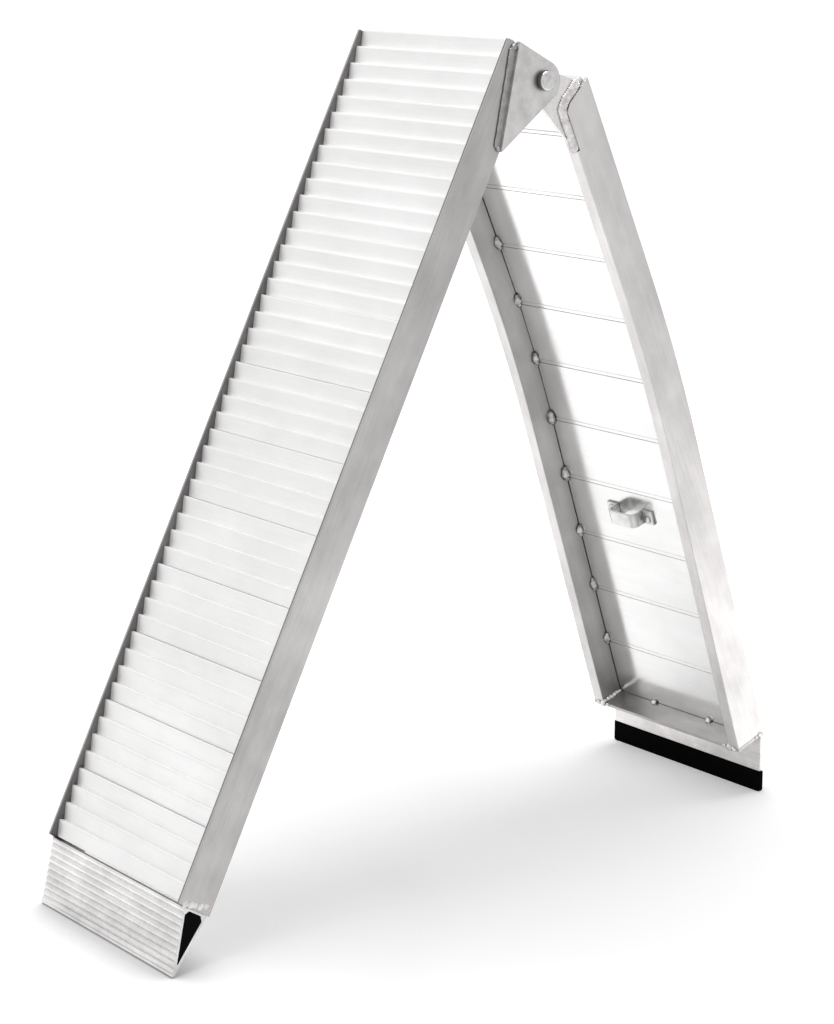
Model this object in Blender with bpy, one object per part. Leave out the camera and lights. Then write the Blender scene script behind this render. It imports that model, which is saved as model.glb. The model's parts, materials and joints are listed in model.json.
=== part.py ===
# Folding motorcycle loading ramp, standing as an A-frame.
# Metres, +Z up. Y runs along the hinge and X from the ground foot to the tailgate lip.
# The origin is on the floor, under the middle of the standing ramp.
# Each section is drawn in its own frame: the pin axis at its origin, x along the
# section away from the hinge, y along the hinge and z out of the deck. The ground
# section's frame is turned half round, so its y points towards the near side.

import math

import bmesh
import bpy
from mathutils import Matrix, Vector
from mathutils.geometry import tessellate_polygon

# Driving sizes
RAMP_WIDTH = 0.305
GAP = 0.0003
PIN_BELOW_DECK = 0.073
GROUND_TILT = math.radians(27.22)

# Side rail extrusion: a box with a fin along its outer top edge
RAIL_DEPTH = 0.052
RAIL_WIDTH = 0.020
RAIL_WALL = 0.003
FIN_THICKNESS = 0.005
FIN_HEIGHT = 0.0146
RAIL_CORNER = 0.0015

# The corner cut off each ground rail, so that the tailgate plates pass as it opens
CORNER_CUT_LENGTH = 0.0277
CORNER_CUT_TOP = 0.0204

# Ground section, lengths from the pin
GROUND_RAIL_START = -0.023
GROUND_RAIL_END = 1.1151
GROUND_END_SLANT = 0.006
GROUND_DECK_START = -0.0262
GROUND_PLANKS = 12

# Tailgate section, lengths from the pin and along the arched rail
TAILGATE_RAIL_START = 0.0332
TAILGATE_RAIL_LENGTH = 1.028
TAILGATE_FIRST_SEAM = 0.0770
TAILGATE_DECK_START = -0.0045
TAILGATE_PLANKS = 11
ARCH_START = 0.300
ARCH_LENGTH = 0.250
ARCH_ANGLE = math.radians(6.06)
ARCH_STEPS = 12
# What a straight plank needs to clear the bent rail's crown
ARCH_CROWN = 0.0006

# Deck plank extrusion
PLANK_PITCH = 0.0951
TEETH_PER_PLANK = 4
DECK_UNDERSIDE = 0.0143
TOOTH_VALLEY = 0.0112
TOOTH_TIP = 0.0043
TOOTH_RISE = 0.0012
TOOTH_LAND = 0.0022
TONGUE_LENGTH = 0.006
TONGUE_THICKNESS = 0.0013
SEAM_GROOVE = 0.0006

# Foot wedge extrusion
WEDGE_WALL = 0.0028
WEDGE_TOP_LENGTH = 0.0865
WEDGE_FACE_DROP = 0.0205
WEDGE_TOP_DEPTH = 0.0085
WEDGE_BACK_DEPTH = 0.047
WEDGE_TIP_RADIUS = 0.0022
WEDGE_RIBS = 10
HOLLOW_CORNER = 0.006
HOLLOW_TOE = 0.003
RIB_HEIGHT = 0.0016
RIB_STEPS = 4
PLUG_LENGTH = 0.014
PLUG_CLEARANCE = 0.0004

# Hinge plates. The outlines run from the rail's hinge end and down from the deck line.
PLATE_THICKNESS = 0.006
GROUND_NOSE = (0.0235, 0.0745)
GROUND_NOSE_RADIUS = 0.0257
GROUND_PLATE_TOP = 0.0135
GROUND_HEEL = (0.129, 0.0505)
GROUND_HEEL_CORNER = (0.131, 0.0487)
TAILGATE_NOSE = (-0.032, 0.075)
TAILGATE_NOSE_RADIUS = 0.0175
TAILGATE_SHOULDER = -0.005
TAILGATE_HEEL = (0.077, 0.0535)
TAILGATE_HEEL_INSIDE = 0.040
TAILGATE_PLATE_BACK = 0.060
PLATE_CLEARANCE = 0.0006

# The tailgate rail's end is cut to a chevron and its underside slotted for the plate
CHEVRON = [(0, 0), (0.0085, 0.0222), (0.0162, 0.0405), (0.024, 0.0485), (0.026, 0.0485)]
SLOT_END = 0.079
CUT_REACH = 0.004

# Hinge hardware
BOLT_RADIUS = 0.006
BOLT_HOLE_RADIUS = 0.00635
BOLT_END = 0.002
BOLT_CHAMFER = 0.0008
HEAD_RADIUS = 0.0128
HEAD_HEIGHT = 0.0085
HEAD_DOME = 0.0024
WASHER_RADIUS = 0.0125
WASHER_THICKNESS = 0.0022
NUT_ACROSS_FLATS = 0.019
NUT_HEIGHT = 0.009

# Tailgate end plate, lip and rubber cap
END_PLATE_THICKNESS = 0.0048
LIP_THICKNESS = 0.005
LIP_BEND_ANGLE = math.radians(18.5)
LIP_LENGTH = 0.0855
RUBBER_WALL = 0.0013
RUBBER_LENGTH = 0.030
RUBBER_CORNER = 0.0045
RUBBER_EDGE = 0.0016
RUBBER_PROUD = GAP + RUBBER_WALL

# Strap handle
HANDLE_STATION = 0.7205
HANDLE_Y = 0.005
HANDLE_PLANK = 7
HANDLE_HALF_SPAN = 0.046
HANDLE_FOOT = 0.019
HANDLE_WIDTH = 0.021
HANDLE_HEIGHT = 0.0235
HANDLE_THICKNESS = 0.003
HANDLE_BEND = 0.010
SCREW_OFFSET = 0.0365
# The screws are staggered along the ramp
SCREW_STAGGER = 0.003
SCREW_HEAD_RADIUS = 0.005
SCREW_HEAD_HEIGHT = 0.0026
# The dome's outline as shares of the head's radius and height
SCREW_DOME = [(0, 1), (0.55, 0.88), (0.88, 0.5), (1, 0)]
SCREW_SHANK_RADIUS = 0.0024
SCREW_SHANK_LENGTH = 0.0068
SCREW_HOLE_RADIUS = 0.0028
SCREW_HOLE_DEPTH = 0.0072

SIDES = {"near": -1, "far": 1}
UPWARD = (0, 0, 1)
ROUND_STEPS = 32
HOLE_STEPS = 24


def clearScene():
    for item in list(bpy.data.objects):
        bpy.data.objects.remove(item, do_unlink=True)


def makeMaterial(name, colour, roughness, metallic):
    material = bpy.data.materials.new(name)
    material.use_nodes = True
    shader = material.node_tree.nodes["Principled BSDF"]
    shader.inputs["Base Color"].default_value = (*colour, 1.0)
    shader.inputs["Roughness"].default_value = roughness
    shader.inputs["Metallic"].default_value = metallic
    return material


def makeObject(name, bm, material, parent, roundShading=False):
    bmesh.ops.remove_doubles(bm, verts=bm.verts, dist=1e-6)
    bmesh.ops.recalc_face_normals(bm, faces=bm.faces)
    mesh = bpy.data.meshes.new(name)
    bm.to_mesh(mesh)
    bm.free()
    mesh.materials.append(material)
    if roundShading:
        mesh.shade_smooth()
        mesh.set_sharp_from_angle(angle=math.radians(30))
    obj = bpy.data.objects.new(name, mesh)
    bpy.context.scene.collection.objects.link(obj)
    obj.parent = parent
    return obj


def addExtrusion(bm, loops, stations):
    """Sweeps a profile, an outline and its hollows, through the stations' matrices."""
    points = [point for loop in loops for point in loop]
    rings = [[bm.verts.new(place @ Vector((a, b, 0))) for a, b in points] for place in stations]
    for first, second in zip(rings, rings[1:]):
        base = 0
        for loop in loops:
            for i in range(len(loop)):
                j = base + (i + 1) % len(loop)
                bm.faces.new((first[base + i], first[j], second[j], second[base + i]))
            base += len(loop)
    flat = [[Vector((a, b, 0)) for a, b in loop] for loop in loops]
    for triangle in tessellate_polygon(flat):
        bm.faces.new([rings[0][i] for i in triangle])
        bm.faces.new([rings[-1][i] for i in reversed(triangle)])
    return bm


def extrusion(name, loops, stations, material, parent, roundShading=False):
    return makeObject(name, addExtrusion(bmesh.new(), loops, stations), material, parent, roundShading)


def axesMatrix(origin, sideways, upwards):
    """A station whose profile's first coordinate runs sideways and its second upwards."""
    sideways = Vector(sideways)
    upwards = Vector(upwards)
    columns = (sideways, upwards, sideways.cross(upwards), Vector(origin))
    return Matrix([[column[row] for column in columns] for row in range(3)] + [[0, 0, 0, 1]])


def acrossStations(low, high):
    """Two stations for an x, z profile drawn across the ramp."""
    return [axesMatrix((0, y, 0), (1, 0, 0), (0, 0, 1)) for y in (low, high)]


def arc(centre, radius, start, end, steps):
    """Points round an arc, the angles in degrees."""
    angles = [math.radians(start + (end - start) * i / steps) for i in range(steps + 1)]
    return [(centre[0] + radius * math.cos(a), centre[1] + radius * math.sin(a)) for a in angles]


def tangentAngle(point, centre, radius, turn):
    """Where a line from the point touches the circle, in degrees round its centre."""
    away = Vector((point[0] - centre[0], point[1] - centre[1]))
    return math.degrees(math.atan2(away.y, away.x)) + turn * math.degrees(math.acos(radius / away.length))


def turned(name, profile, axis, parent, location, material, closed=False):
    """A piece turned about the axis from (radius, height) points, open on the axis or closed as a ring."""
    bm = bmesh.new()
    along = Vector(axis)
    verts = [bm.verts.new(Vector((radius, 0, 0)) + along * height) for radius, height in profile]
    pairs = list(zip(verts, verts[1:])) + ([(verts[-1], verts[0])] if closed else [])
    edges = [bm.edges.new(pair) for pair in pairs]
    bmesh.ops.spin(bm, geom=verts + edges, cent=(0, 0, 0), axis=axis, angle=math.tau, steps=ROUND_STEPS)
    obj = makeObject(name, bm, material, parent, roundShading=True)
    obj.location = location
    return obj


def cut(obj, cutter):
    cutter.hide_render = True
    cutter.display_type = "WIRE"
    boolean = obj.modifiers.new("Cut", "BOOLEAN")
    boolean.operation = "DIFFERENCE"
    boolean.solver = "EXACT"
    boolean.object = cutter


def railLoops(side):
    """The rail's outline and hollow, from y = 0 at its outer face and z = 0 at the fin's top."""
    deep, wide, wall = -RAIL_DEPTH, RAIL_WIDTH, RAIL_WALL
    outline = [(0, 0)]
    outline += arc((RAIL_CORNER, deep + RAIL_CORNER), RAIL_CORNER, 180, 270, 3)
    outline += arc((wide - RAIL_CORNER, deep + RAIL_CORNER), RAIL_CORNER, 270, 360, 3)
    outline += [(wide, -FIN_HEIGHT), (FIN_THICKNESS, -FIN_HEIGHT), (FIN_THICKNESS, 0)]
    low, high = deep + wall, -FIN_HEIGHT - wall
    hollow = [(wall, low), (wide - wall, low), (wide - wall, high), (wall, high)]
    outer = side * RAMP_WIDTH / 2
    return [[(outer - side * y, z) for y, z in loop] for loop in (outline, hollow)]


def toothLine(length, uphill):
    """The deck's saw-tooth line along a whole plank. The steep faces look uphill."""
    tooth = length / TEETH_PER_PLANK
    line = []
    for i in range(TEETH_PER_PLANK):
        foot = i * tooth
        crest = foot + TOOTH_RISE
        line += [(foot, -TOOTH_VALLEY), (crest, -TOOTH_TIP), (crest + TOOTH_LAND, -TOOTH_TIP)]
    line.append((length, -TOOTH_VALLEY))
    return line if uphill else [(length - x, z) for x, z in reversed(line)]


def trimmed(line, length):
    """The last of the line, this long, with its cut end at x = 0."""
    shift = line[-1][0] - length
    points = []
    for (x0, z0), (x1, z1) in zip(line, line[1:]):
        if x0 <= shift < x1:
            points.append((0, z0 + (z1 - z0) * (shift - x0) / (x1 - x0)))
        if x1 > shift:
            points.append((x1 - shift, z1))
    return points


def plankOutline(length, uphill, first, last):
    """A plank from x = 0 at its hinge end, with a tongue that laps into the next one's rebate."""
    whole = max(length, PLANK_PITCH) if first else length
    top = trimmed(toothLine(whole - GAP, uphill), length - GAP)
    under = -DECK_UNDERSIDE
    lap = under + TONGUE_THICKNESS
    tongueEnd = length + TONGUE_LENGTH - 2 * GAP
    tongue = [
        (length - GAP, lap),
        (tongueEnd, lap),
        (tongueEnd, under),
        (length + SEAM_GROOVE, under),
        (length, under + SEAM_GROOVE),
        (length - SEAM_GROOVE, under),
    ]
    rebate = [(TONGUE_LENGTH, under), (TONGUE_LENGTH, lap + 2 * GAP), (0, lap + 2 * GAP)]
    if last:
        tongue = [(length - GAP, under)]
    if first:
        rebate = [(0, under)]
    return top + tongue + rebate


def archPlace(along):
    """Position and direction angle of the tailgate's deck line, from the rail's hinge end."""
    bend = min(max(along - ARCH_START, 0), ARCH_LENGTH)
    beyond = max(along - ARCH_START - ARCH_LENGTH, 0)
    radius = ARCH_LENGTH / ARCH_ANGLE
    angle = bend / radius
    x = TAILGATE_RAIL_START + min(along, ARCH_START) + radius * math.sin(angle) + beyond * math.cos(angle)
    z = PIN_BELOW_DECK - radius * (1 - math.cos(angle)) - beyond * math.sin(angle)
    return x, z, angle


def archPoint(along, height):
    """A point at this height from the tailgate's deck line, in the section's frame."""
    x, z, angle = archPlace(along)
    return x + height * math.sin(angle), z + height * math.cos(angle)


def archEmpty(name, along, parent):
    """An empty on the arched deck line, its x along the rail and its z out of the deck."""
    x, z, angle = archPlace(along)
    empty = makeEmpty(name, (x, 0, z), parent)
    empty.rotation_euler = (0, angle, 0)
    return empty


def makeEmpty(name, location, parent=None):
    empty = bpy.data.objects.new(name, None)
    bpy.context.scene.collection.objects.link(empty)
    empty.location = location
    empty.parent = parent
    return empty


def wedgePlace():
    """The wedge's tip centre in the ground section's frame."""
    faceEnd = (GROUND_RAIL_END + GAP + WEDGE_TOP_LENGTH, -WEDGE_TOP_DEPTH - WEDGE_FACE_DROP)
    return faceEnd[0], PIN_BELOW_DECK + faceEnd[1] - WEDGE_TIP_RADIUS


def lipPoint(along, depth):
    """A point on the bent lip, from the end plate's back at deck level."""
    cos, sin = math.cos(LIP_BEND_ANGLE), math.sin(LIP_BEND_ANGLE)
    return along * cos - depth * sin, -along * sin - depth * cos


def inTailgateFrame(ahead, rise):
    """A point from the end plate's back at deck level, in the tailgate section's frame."""
    x, z, angle = archPlace(TAILGATE_RAIL_LENGTH)
    ahead += GAP + END_PLATE_THICKNESS + GAP
    cos, sin = math.cos(angle), math.sin(angle)
    return x + ahead * cos + rise * sin, z - ahead * sin + rise * cos


def capEdges():
    """Centres of the rubber cap's two rounded end edges in the tailgate section's frame."""
    along = LIP_LENGTH + RUBBER_PROUD - RUBBER_EDGE
    depths = (RUBBER_EDGE - RUBBER_PROUD, LIP_THICKNESS + RUBBER_PROUD - RUBBER_EDGE)
    return [inTailgateFrame(*lipPoint(along, depth)) for depth in depths]


def sectionTilts():
    """Pin height above the floor, and the tailgate section's angle from vertical."""
    tipX, tipZ = wedgePlace()
    pinHeight = tipX * math.cos(GROUND_TILT) - tipZ * math.sin(GROUND_TILT) + WEDGE_TIP_RADIUS
    drop = pinHeight - RUBBER_EDGE
    tilt = max(math.acos(drop / math.hypot(x, z)) - math.atan2(z, x) for x, z in capEdges())
    return pinHeight, tilt


def footSpread(tailgateTilt):
    """How far the feet reach to each side of the pin."""
    tipX, tipZ = wedgePlace()
    left = -tipX * math.sin(GROUND_TILT) - tipZ * math.cos(GROUND_TILT) - WEDGE_TIP_RADIUS
    sin, cos = math.sin(tailgateTilt), math.cos(tailgateTilt)
    return left, max(x * sin + z * cos for x, z in capEdges()) + RUBBER_EDGE


def buildGroundRails(section, aluminium):
    startX, endX, top = GROUND_RAIL_START, GROUND_RAIL_END, PIN_BELOW_DECK
    shear = GROUND_END_SLANT / RAIL_DEPTH
    start = axesMatrix((startX, 0, top), (0, 1, 0), (0, 0, 1))
    end = axesMatrix((endX, 0, top), (0, 1, 0), (-shear, 0, 1))
    rise = RAIL_DEPTH - CORNER_CUT_TOP
    extra = CUT_REACH * CORNER_CUT_LENGTH / rise
    corner = [
        (startX - extra, top - CORNER_CUT_TOP + CUT_REACH),
        (startX + CORNER_CUT_LENGTH + extra, top - RAIL_DEPTH - CUT_REACH),
        (startX - extra, top - RAIL_DEPTH - CUT_REACH),
    ]
    reach = RAMP_WIDTH / 2 + CUT_REACH
    cutter = extrusion("rail_corner_cutter", [corner], acrossStations(-reach, reach), aluminium, section)
    for label, side in SIDES.items():
        rail = extrusion(f"ground_rail_{label}", railLoops(-side), [start, end], aluminium, section)
        cut(rail, cutter)


def buildGroundDeck(section, aluminium):
    half = RAMP_WIDTH / 2 - FIN_THICKNESS - GAP
    across = acrossStations(-half, half)
    for i in range(GROUND_PLANKS):
        outline = plankOutline(PLANK_PITCH, True, i == 0, i == GROUND_PLANKS - 1)
        plank = extrusion(f"ground_plank_{i + 1:02d}", [outline], across, aluminium, section)
        plank.location = (GROUND_DECK_START + i * PLANK_PITCH, 0, PIN_BELOW_DECK)


def wedgeRibs(start, end):
    """The ribbed line from the wedge's top corner to its tip, the ribs as shallow arches."""
    line = Vector(end) - Vector(start)
    out = Vector((-line.y, line.x)).normalized()
    points = []
    count = WEDGE_RIBS * RIB_STEPS
    for i in range(count):
        swell = RIB_HEIGHT * (abs(math.sin(math.pi * i / RIB_STEPS)) ** 0.7 - 1)
        points.append(tuple(Vector(start) + line * (i / count) + out * swell))
    return points


def wedgeOutline():
    """The wedge's ribbed outline, x from the rail's top end and z from the deck line."""
    shear = GROUND_END_SLANT / RAIL_DEPTH
    top = (2 * GAP + shear * WEDGE_TOP_DEPTH, -WEDGE_TOP_DEPTH)
    back = (GAP + shear * WEDGE_BACK_DEPTH, -WEDGE_BACK_DEPTH)
    tip = (GAP + WEDGE_TOP_LENGTH, -WEDGE_TOP_DEPTH - WEDGE_FACE_DROP - WEDGE_TIP_RADIUS)
    faceAngle = math.degrees(math.atan2(-WEDGE_FACE_DROP, WEDGE_TOP_LENGTH))
    under = math.degrees(math.atan2(tip[1] - back[1], tip[0] - back[0]))
    nose = arc(tip, WEDGE_TIP_RADIUS, 90 + faceAngle, -90 + under, 6)
    return top, back, tip, wedgeRibs(top, nose[0]) + nose + [back]


def wedgeLoops():
    """The wedge's outline and its hollow, whose corners are cut off as on the plugs."""
    top, back, tip, outline = wedgeOutline()
    inside = shrunk([top, tip, back], WEDGE_WALL)
    hollow = []
    for before, point, after in zip(inside[-1:] + inside[:-1], inside, inside[1:] + inside[:1]):
        trim = HOLLOW_TOE if point is inside[1] else HOLLOW_CORNER
        for other in (before, after):
            away = (Vector(other) - Vector(point)).normalized()
            hollow.append(tuple(Vector(point) + away * trim))
    return outline, hollow


def shrunk(loop, by):
    """The loop with each of its sides moved inwards by this much."""
    corners = [Vector(point) for point in loop]
    area = sum(a.x * b.y - b.x * a.y for a, b in zip(corners, corners[1:] + corners[:1]))
    turn = 1 if area > 0 else -1
    points = []
    for before, point, after in zip(corners[-1:] + corners[:-1], corners, corners[1:] + corners[:1]):
        first = (point - before).normalized()
        second = (after - point).normalized()
        firstIn = Vector((-first.y, first.x)) * turn
        secondIn = Vector((-second.y, second.x)) * turn
        mitre = (firstIn + secondIn).normalized()
        points.append(tuple(point + mitre * (by / mitre.dot(firstIn))))
    return points


def buildWedge(section, aluminium, black):
    outline, hollow = wedgeLoops()
    half = RAMP_WIDTH / 2
    across = acrossStations(-half, half)
    wedge = extrusion("ground_foot_wedge", [outline, hollow], across, aluminium, section)
    wedge.location = (GROUND_RAIL_END, 0, PIN_BELOW_DECK)
    for label, side in SIDES.items():
        low, high = sorted((-side * half, -side * (half - PLUG_LENGTH)))
        outline = shrunk(hollow, PLUG_CLEARANCE)
        plug = extrusion(f"wedge_plug_{label}", [outline], acrossStations(low, high), black, section)
        plug.location = (GROUND_RAIL_END, 0, PIN_BELOW_DECK)


def plateStations(side, face):
    """A plate whose outer face is this far from the ramp's outer side."""
    outer = side * (RAMP_WIDTH / 2 - face)
    return acrossStations(*sorted((outer, outer - side * PLATE_THICKNESS)))


def buildPlate(name, outline, side, face, material, section):
    return extrusion(name, [outline, boltHole()], plateStations(side, face), material, section, True)


def boltHole():
    return arc((0, 0), BOLT_HOLE_RADIUS, 0, 360 - 360 / HOLE_STEPS, HOLE_STEPS - 1)


def fromRailEnd(start, point):
    """A point given from the rail's hinge end and down from the deck line, in the section's frame."""
    return start + point[0], PIN_BELOW_DECK - point[1]


def groundPlateOutline():
    nose = fromRailEnd(GROUND_RAIL_START, GROUND_NOSE)
    corner = fromRailEnd(GROUND_RAIL_START, GROUND_HEEL_CORNER)
    heel = fromRailEnd(GROUND_RAIL_START, GROUND_HEEL)
    end = tangentAngle(heel, nose, GROUND_NOSE_RADIUS, -1)
    top = (nose[0] - GROUND_NOSE_RADIUS, PIN_BELOW_DECK - GROUND_PLATE_TOP)
    return [top, *arc(nose, GROUND_NOSE_RADIUS, 180, 360 + end, 20), heel, corner]


def tailgatePlateOutline():
    """The plate runs up inside the rail to just under the box's top wall."""
    inside = FIN_HEIGHT + RAIL_WALL + PLATE_CLEARANCE
    nose = fromRailEnd(TAILGATE_RAIL_START, TAILGATE_NOSE)
    shoulder = fromRailEnd(TAILGATE_RAIL_START, (TAILGATE_SHOULDER, inside))
    heel = fromRailEnd(TAILGATE_RAIL_START, TAILGATE_HEEL)
    heelTop = fromRailEnd(TAILGATE_RAIL_START, (TAILGATE_HEEL[0], TAILGATE_HEEL_INSIDE))
    backTop = fromRailEnd(TAILGATE_RAIL_START, (TAILGATE_PLATE_BACK, inside))
    upper = tangentAngle(shoulder, nose, TAILGATE_NOSE_RADIUS, 1)
    lower = tangentAngle(heel, nose, TAILGATE_NOSE_RADIUS, -1)
    return [shoulder, *arc(nose, TAILGATE_NOSE_RADIUS, upper, 360 + lower, 20), heel, heelTop, backTop]


def buildHingePlates(ground, tailgate, aluminium):
    outer, inner = groundPlateOutline(), tailgatePlateOutline()
    outside, inset = -PLATE_THICKNESS - GAP, RAIL_WALL + GAP
    for label, side in SIDES.items():
        buildPlate(f"ground_hinge_plate_{label}", outer, -side, outside, aluminium, ground)
        buildPlate(f"tailgate_hinge_plate_{label}", inner, side, inset, aluminium, tailgate)


def boltProfile(end, headFace):
    """A round-headed bolt from (radius, height) points, from its tip to the dome of its head."""
    headTop = headFace + HEAD_HEIGHT
    tip = [(0, end), (BOLT_RADIUS - BOLT_CHAMFER, end), (BOLT_RADIUS, end + BOLT_CHAMFER)]
    neck = [(BOLT_RADIUS, headFace), (HEAD_RADIUS, headFace)]
    rim = arc((HEAD_RADIUS - HEAD_DOME, headTop - HEAD_DOME), HEAD_DOME, 0, 70, 5)
    crown = [(HEAD_RADIUS / 2, headTop + HEAD_DOME / 4), (0, headTop + HEAD_DOME / 3)]
    return tip + neck + rim + crown


def buildHingeHardware(ground, zinc):
    """The bolt sets, drawn on the pin axis outwards from the ramp's outer side."""
    half = RAMP_WIDTH / 2
    headFace = half + GAP + PLATE_THICKNESS + GAP
    plateInside = half - RAIL_WALL - GAP - PLATE_THICKNESS
    washerInside = plateInside - GAP - WASHER_THICKNESS
    nutInside = washerInside - GAP - NUT_HEIGHT
    washers = {
        "spacer_washer": (half - RAIL_WALL, half),
        "inner_washer": (washerInside, washerInside + WASHER_THICKNESS),
    }
    bolt = boltProfile(nutInside - BOLT_END, headFace)
    centre = (0, 0, 0)
    for label, side in SIDES.items():
        out = (0, -side, 0)
        turned(f"pivot_bolt_{label}", bolt, out, ground, centre, zinc)
        for name, (low, high) in washers.items():
            hole, rim = BOLT_HOLE_RADIUS, WASHER_RADIUS
            section = [(hole, low), (rim, low), (rim, high), (hole, high)]
            turned(f"{name}_{label}", section, out, ground, centre, zinc, closed=True)
        low, high = sorted((-side * nutInside, -side * (nutInside + NUT_HEIGHT)))
        corners = arc((0, 0), NUT_ACROSS_FLATS / math.sqrt(3), 0, 300, 5)
        extrusion(f"lock_nut_{label}", [corners, boltHole()], acrossStations(low, high), zinc, ground)


def tailgateRailStations():
    marks = [0, ARCH_START]
    marks += [ARCH_START + ARCH_LENGTH * (i + 1) / ARCH_STEPS for i in range(ARCH_STEPS)]
    marks += [TAILGATE_RAIL_LENGTH]
    stations = []
    for along in marks:
        x, z, angle = archPlace(along)
        stations.append(axesMatrix((x, 0, z), (0, 1, 0), (math.sin(angle), 0, math.cos(angle))))
    return stations


def buildTailgateRails(section, aluminium):
    start, top = TAILGATE_RAIL_START, PIN_BELOW_DECK
    bottom = top - RAIL_DEPTH - CUT_REACH
    half = RAMP_WIDTH / 2
    chevron = [fromRailEnd(start, point) for point in CHEVRON]
    chevron += [(chevron[-1][0], bottom), (start - CUT_REACH, bottom), (start - CUT_REACH, top + CUT_REACH)]
    reach = half + CUT_REACH
    endCutter = extrusion("chevron_cutter", [chevron], acrossStations(-reach, reach), aluminium, section)
    low, high = start - CUT_REACH, start + SLOT_END
    slotTop = top - CHEVRON[-1][1]
    slot = [(low, bottom), (high, bottom), (high, slotTop), (low, slotTop)]
    slotDepth = RAIL_WALL + GAP + PLATE_THICKNESS + GAP
    stations = tailgateRailStations()
    for label, side in SIDES.items():
        rail = extrusion(f"tailgate_rail_{label}", railLoops(side), stations, aluminium, section, True)
        across = sorted((side * reach, side * (half - slotDepth)))
        name = f"plate_slot_cutter_{label}"
        slotCutter = extrusion(name, [slot], acrossStations(*across), aluminium, section)
        cut(rail, endCutter)
        cut(rail, slotCutter)


def buildTailgateDeck(section, aluminium):
    half = RAMP_WIDTH / 2 - FIN_THICKNESS - GAP
    seams = [TAILGATE_DECK_START] + [TAILGATE_FIRST_SEAM + i * PLANK_PITCH for i in range(TAILGATE_PLANKS)]
    planks = []
    for i, (start, end) in enumerate(zip(seams, seams[1:])):
        x0, z0 = archPoint(start, -DECK_UNDERSIDE)
        x1, z1 = archPoint(end, -DECK_UNDERSIDE)
        place = makeEmpty(f"plank_place_{i + 1:02d}", (x0, 0, z0), section)
        place.rotation_euler = (0, math.atan2(z0 - z1, x1 - x0), 0)
        length = math.hypot(x1 - x0, z1 - z0)
        outline = plankOutline(length, False, i == 0, i == TAILGATE_PLANKS - 1)
        name = f"tailgate_plank_{i + 1:02d}"
        plank = extrusion(name, [outline], acrossStations(-half, half), aluminium, place)
        plank.location = (0, 0, DECK_UNDERSIDE + ARCH_CROWN)
        planks.append(plank)
    return planks


def buildTailgateEnd(section, aluminium, rubber):
    half = RAMP_WIDTH / 2
    place = archEmpty("tailgate_end_place", TAILGATE_RAIL_LENGTH, section)
    near, far = GAP, GAP + END_PLATE_THICKNESS
    outline = [(near, -RAIL_DEPTH), (far, -RAIL_DEPTH), (far, 0), (near, 0)]
    extrusion("tailgate_end_plate", [outline], acrossStations(-half, half), aluminium, place)
    back = makeEmpty("lip_place", (far + GAP, 0, 0), place)
    underside = (0, -LIP_THICKNESS / math.cos(LIP_BEND_ANGLE))
    lip = [(0, 0), lipPoint(LIP_LENGTH, 0), lipPoint(LIP_LENGTH, LIP_THICKNESS), underside]
    extrusion("tailgate_lip", [lip], acrossStations(-half, half), aluminium, back)
    end = lipPoint(LIP_LENGTH, 0)
    capPlace = makeEmpty("cap_place", (end[0], 0, end[1]), back)
    capPlace.rotation_euler = (0, LIP_BEND_ANGLE, 0)
    buildRubber(capPlace, half, rubber)


def buildRubber(place, half, rubber):
    """A moulded cap over the lip's end, its outer corners rounded, with a pocket for the lip."""
    side, corner = half + RUBBER_PROUD, RUBBER_CORNER
    end = RUBBER_PROUD - corner
    plan = [(-RUBBER_LENGTH, -side)]
    plan += arc((end, -side + corner), corner, -90, 0, 5) + arc((end, side - corner), corner, 0, 90, 5)
    plan += [(-RUBBER_LENGTH, side)]
    low, high = -LIP_THICKNESS - RUBBER_PROUD, RUBBER_PROUD
    stations = [axesMatrix((0, 0, z), (1, 0, 0), (0, 1, 0)) for z in (low, high)]
    bm = addExtrusion(bmesh.new(), [plan], stations)
    bmesh.ops.remove_doubles(bm, verts=bm.verts, dist=1e-6)
    bmesh.ops.dissolve_limit(bm, angle_limit=math.radians(1), verts=bm.verts, edges=bm.edges)
    bmesh.ops.recalc_face_normals(bm, faces=bm.faces)
    rims = [edge for edge in bm.edges if edge.verts[0].co.z == edge.verts[1].co.z]
    bmesh.ops.bevel(bm, geom=rims, offset=RUBBER_EDGE, segments=3, profile=0.5, affect="EDGES")
    cap = makeObject("lip_rubber", bm, rubber, place, roundShading=True)
    across = acrossStations(-half - GAP, half + GAP)
    back = -RUBBER_LENGTH - CUT_REACH
    pocket = [(back, -LIP_THICKNESS - GAP), (GAP, -LIP_THICKNESS - GAP), (GAP, GAP), (back, GAP)]
    cut(cap, extrusion("lip_pocket_cutter", [pocket], across, rubber, place))


def handleOutline():
    """The strap's outline in y and z, z measured down from the deck's underside."""
    span, foot, high, thick = HANDLE_HALF_SPAN, HANDLE_FOOT, HANDLE_HEIGHT, HANDLE_THICKNESS
    legIn = span - foot
    outerBend, innerBend = HANDLE_BEND, HANDLE_BEND - thick
    outside = [(span, 0), (span, thick), (legIn, thick)]
    outside += arc((legIn - outerBend, high - outerBend), outerBend, 0, 90, 5)
    inside = arc((legIn - outerBend, high - outerBend), innerBend, 90, 0, 5)
    inside += [(legIn - thick, 0)]
    outsideLeft = [(-y, z) for y, z in reversed(outside)]
    insideLeft = [(-y, z) for y, z in reversed(inside)]
    return outside + outsideLeft + insideLeft + inside


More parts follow.
